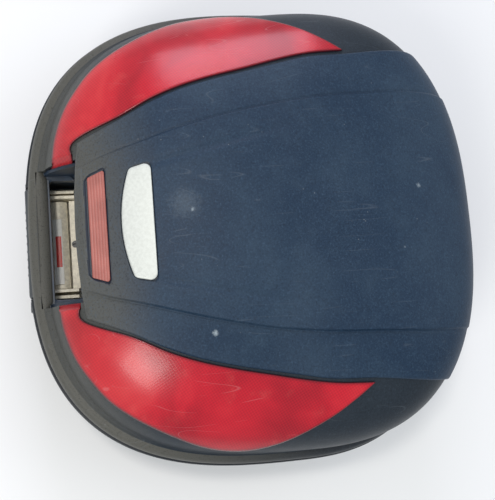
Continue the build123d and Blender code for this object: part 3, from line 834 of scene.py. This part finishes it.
def recess():
    """Hand recess: lip round the opening, side and front walls under the cover."""
    parts = []
    lip = rounded_outline([(-RECESS_HALF, -214), (RECESS_HALF, -214), (RECESS_HALF, -173.6),
                           (-RECESS_HALF, -173.6)], 0.8, 8)
    hole = rounded_outline([(-60, -202), (60, -202), (60, -176.3), (-60, -176.3)], 3.0, 8)
    rings = []
    wider = hole + (hole - hole.mean(0)) * 0.03
    for line, z in ((lip, RECESS_FLOOR_Z), (lip, LIP_Z), (wider, LIP_Z), (hole, LIP_Z - 1),
                    (hole, RECESS_FLOOR_Z)):
        rings.append(np.column_stack([line, np.full(len(line), z)]))
    verts = np.vstack(rings)
    parts.append((verts, tube_faces(len(rings), len(rings[0]))))
    for side in (-1, 1):
        y = np.linspace(-209.5, -173.4, WALL_POINTS)
        x = np.array([64.6, 68.0])
        z = np.stack([dome(np.full_like(y, 67.8), y, 0.3) - 11.0] * 2, 1)
        across, along = np.tile(side * x, (WALL_POINTS, 1)), np.tile(y[:, None], (1, 2))
        top = np.stack([across, along, np.maximum(z, 112.6)], -1)
        low = top.copy()
        low[..., 2] = LIP_Z - 1.0
        parts.append(slab(top, low))
    x = np.linspace(-67.5, 67.5, FRONT_POINTS)
    y = np.array([-176.6, -173.4])
    z = np.stack([dome(x, np.full_like(x, -175.0), -0.2)] * 2, 1)
    top = np.stack([np.tile(x[:, None], (1, 2)), np.tile(y, (FRONT_POINTS, 1)), z], -1)
    low = top.copy()
    low[..., 2] = 101.0
    parts.append(slab(top, low))
    verts, faces = joined(*parts)
    return build("recess_skin", verts, faces, "lid", FRAME, ["recess_frame"], "frame_black")


# ---------------------------------------------------------------- base
BRIDGE_HALF, BRIDGE_TOP, BRIDGE_ROLL, BRIDGE_LOW = 68.6, 115.15, 4.4, 108.0
# Depth from the plan's centre to about the rim's rear, which turns x into a direction.
BRIDGE_DEPTH = 255.0


def rim_bridge():
    """Rim bead carried across behind the hand recess, rolling over into it."""
    x = np.linspace(-BRIDGE_HALF, BRIDGE_HALF, 60)
    t = np.linspace(0, 1, 24)
    slope = x / BRIDGE_DEPTH
    rear = WIDEST_Y + rim_reach(np.arctan2(-1.0, slope), 11.0) * -1.0 / np.hypot(1.0, slope)
    inner = -203.6 - 2.5 * smooth((np.abs(x) - 60.0) / 8.0)
    y = rear[:, None] + (inner - rear)[:, None] * t
    z = BRIDGE_TOP - BRIDGE_ROLL * t ** 3.2 + 0 * y
    z[:, -2:] -= (0.5, 1.5)
    top = np.stack([x[:, None] + 0 * y, y, z], -1)
    low = top.copy()
    low[..., 2] = BRIDGE_LOW
    low[..., 1] = np.minimum(low[..., 1], inner[:, None] - 0.8)
    verts, faces = slab(top, low)
    return build("rim_bridge", verts, faces, "lid", RIM)


# The tub's outline from foot to rim and back down inside: how far in from the rim, and height.
TUB_PROFILE = [(150, 4.0), (60, 4.0), (54, 4.3), (50, 5.6), (45.5, 8.0), (40, 12.0), (34.5, 18.0),
               (30, 25.5), (24.5, 36), (18, 50), (13, 65), (9, 80), (8.2, 84.2), (7.6, 85.4), (6.0, 86.0),
               (2.2, 86.3), (0.7, 87.0), (0.2, 88.6), (0.0, 92), (0.1, 97.0), (0.7, 98.8), (2.2, 99.4),
               (4.2, 99.4), (4.2, 97.2), (8.3, 97.2), (8.3, 99.4), (10.0, 99.4), (10.4, 97), (12, 82),
               (21, 52), (33, 27), (43, 13), (52, 8.2), (60, 7.0), (150, 7.0)]
FLANGE_Z = 85
# The seal's section in its groove: how far in from the rim, and height.
SEAL_SECTION = [(4.4, 97.4), (4.4, 98.9), (5.1, 99.5), (6.2, 99.7), (7.3, 99.5), (8.1, 98.9), (8.1, 97.4)]


def base_skin():
    """Tub: foot, tapered wall, rolled rim flange, seal groove, and the inner wall back down."""
    verts, faces = shell_of_rings([ring(rim_reach(THETA, inset), z) for inset, z in TUB_PROFILE])
    obj = build("base_skin", verts, faces, "base", TUB, ["base_shell"], "shell_black")
    # The handle's notch, the lock pocket and the seat of the mount plate.
    holes = [((-57.0, -240, 40), (57.0, -217.4, 120)),
             ((-68.2, -217.5, 52.8), (68.2, -170.8, 120)),
             ((-95.3, -150.3, -5), (95.3, 120.3, 4.5))]
    for side in (-1, 1):
        x = side * HINGE_X
        holes.append(((x - HINGE_SLOT_HALF, 212.5, 80), (x + HINGE_SLOT_HALF, 240, 120)))
    cut(obj, holes)
    x, y, z = face_values(obj, "center") / MM
    away = np.hypot(x, y - WIDEST_Y) - rim_reach(np.arctan2(y - WIDEST_Y, x), 9.0)
    flange = (z > FLANGE_Z) & (away > -2)
    inside = (z > 6.5) & (away < -2) & (face_values(obj, "normal")[2] > -0.01)
    paint_faces(obj, [FLANGE, INNER], np.select([flange, inside], [1, 2], 0))
    return obj


def seal():
    """Rubber ring in the rim's groove: a rounded section carried round the rim."""
    rings = [ring(rim_reach(THETA, inset), z) for inset, z in SEAL_SECTION]
    faces = tube_faces(len(rings), ROUND)
    obj = build("seal_ring", np.vstack(rings), faces, "base", RUBBER, ["rim_seal"], "rubber_black")
    holes = [((-72.3, -240, 90), (72.3, -150, 110))]
    for side in (-1, 1):
        x, half = side * HINGE_X, HINGE_SLOT_HALF + 0.3
        holes.append(((x - half, 212.2, 80), (x + half, 240, 110)))
    cut(obj, holes)


STRAP_HALF, STRAP_THIN, STRAP_Z, STRAP_RIPPLE = 12.4, 0.78, 15.8, 0.12


def strap():
    """Two runs of webbing from the anchors into the buckle, with thin edges and a slight ripple."""
    runs = []
    for side in (-1, 1):
        x = np.linspace(17.2, 121.8, 70)[:, None]
        y = STRAP_HALF * np.sin(np.linspace(-math.pi / 2, math.pi / 2, 24))[None, :]
        thin = STRAP_THIN * (1 - 0.5 * np.abs(y / STRAP_HALF) ** 12)
        middle = STRAP_Z + STRAP_RIPPLE * np.sin(x / 9.0) * np.cos(y / 9.0)
        grid = [side * x + 0 * y, y + 0 * x]
        runs.append(slab(np.stack([*grid, middle + thin], -1), np.stack([*grid, middle - thin], -1)))
    build("strap_runs", *joined(*runs), "base", STRAP, ["luggage_strap"], "strap_black")


GRIP_HALF, ARM_X, ARM_HALF = 56, 50.8, 5
RIB_HALF, RIB_STEP, RIB_SPAN = 1.6, 8.0, 32.0


def handle():
    """Bail of a rounded grip and two arms, with shallow finger ribs on the grip's outer face."""
    parts = [soft_box((-GRIP_HALF, -227.0, 82), (GRIP_HALF, -218.3, 97), 3.2)]
    for side in (-1, 1):
        x = side * ARM_X
        parts.append(soft_box((x - ARM_HALF, -226.7, 56), (x + ARM_HALF, -218.6, 90), 2.8))
    for x in np.arange(-RIB_SPAN, RIB_SPAN + 1, RIB_STEP):
        parts.append(soft_box((x - RIB_HALF, -227.3, 84.5), (x + RIB_HALF, -225.5, 94.5), 0.8, 2))
    build("handle_skin", *joined(*parts), "handle", HANDLE, ["carry_handle"], "handle_black")


lid_skin()
cover()
for which in (-1, 1):
    lens(which)
badge()
reflector()
recess()
rim_bridge()
base_skin()
seal()
strap()
handle()

PAINTS = {"shell_black": SHELL, "cover_black": COVER, "frame_black": FRAME, "lens_red": LENS,
          "reflector_red": REFLECTOR, "badge_silver": BADGE, "lever_silver": SILVER, "label_pale": LABEL,
          "mark_red": MARK, "steel": STEEL, "rubber_black": RUBBER, "handle_black": HANDLE,
          "strap_black": STRAP, "buckle_black": HANDLE, "button_red": BUTTON}
slot_of = {row["node"]: row["material_slot"] for row in frame["record"]["subparts"]}
DARK_STEEL = plain("dark_steel", (0.10, 0.10, 0.10), 0.45, 0.6, 0.3, 0.2, 0.03)
for node, obj in frame["nodes"].items():
    for slot in obj.material_slots:
        slot.material = (DARK_STEEL if node == "key_barrel" else PAINTS[slot_of[node]]).mat

# ---------------------------------------------------------------- camera, light, floor
bpy.ops.mesh.primitive_plane_add(size=12)
floor = bpy.context.active_object
floor.name = "floor"
floor_paint = Paint("floor_pale", (0.86, 0.86, 0.86), 0.9, specular=0.1)
floor.data.materials.append(floor_paint.mat)
floor.location.z = -0.0005

EYE, TARGET, IMAGE_UP = (0.1366, -0.1943, 0.9662), (0.0256, -0.0135, 0.15), (-1.0, 0.083, 0.0)
LENS_MM, SENSOR_MM = 61.2, 36.0
SKY_COLOUR, SKY_STRENGTH = (0.90, 0.95, 1.0, 1), 0.62
CASE_MIDDLE = (0, 0, 0.1)

camera = bpy.data.objects.new("camera", bpy.data.cameras.new("camera"))
bpy.context.collection.objects.link(camera)
bpy.context.scene.camera = camera
camera.data.lens = LENS_MM
camera.data.sensor_width = SENSOR_MM
eye = Vector(EYE)
ahead = (Vector(TARGET) - eye).normalized()
up = Vector(IMAGE_UP)
up = (up - ahead * up.dot(ahead)).normalized()
right = ahead.cross(up)
camera.matrix_world = Matrix(((right.x, up.x, -ahead.x, eye.x), (right.y, up.y, -ahead.y, eye.y),
                              (right.z, up.z, -ahead.z, eye.z), (0, 0, 0, 1)))


def lamp(name, place, target, size, power, colour):
    """Flat rectangular lamp at a place, turned to a target."""
    data = bpy.data.lights.new(name, "AREA")
    data.shape = "RECTANGLE"
    data.size, data.size_y = size
    data.energy = power
    data.color = colour
    obj = bpy.data.objects.new(name, data)
    bpy.context.collection.objects.link(obj)
    obj.location = place
    obj.rotation_mode = "QUATERNION"
    obj.rotation_quaternion = (Vector(target) - Vector(place)).to_track_quat("-Z", "Y")


lamp("key", (1.25, -1.25, 1.8), CASE_MIDDLE, (0.7, 0.9), 20, (1.0, 0.98, 0.94))
lamp("sun", (-0.35, -0.60, 2.3), CASE_MIDDLE, (0.3, 0.3), 13, (1.0, 0.96, 0.90))
lamp("glare", (-2.15, -0.05, 1.32), CASE_MIDDLE, (0.9, 1.1), 17, (0.86, 0.84, 1.0))
lamp("sky_back", (-0.4, 2.2, 2.0), CASE_MIDDLE, (2.0, 1.2), 11, (0.82, 0.90, 1.0))
world = bpy.data.worlds.new("studio")
world.use_nodes = True
world.node_tree.nodes["Background"].inputs["Color"].default_value = SKY_COLOUR
world.node_tree.nodes["Background"].inputs["Strength"].default_value = SKY_STRENGTH
bpy.context.scene.world = world
bpy.context.scene.view_settings.view_transform = "Standard"
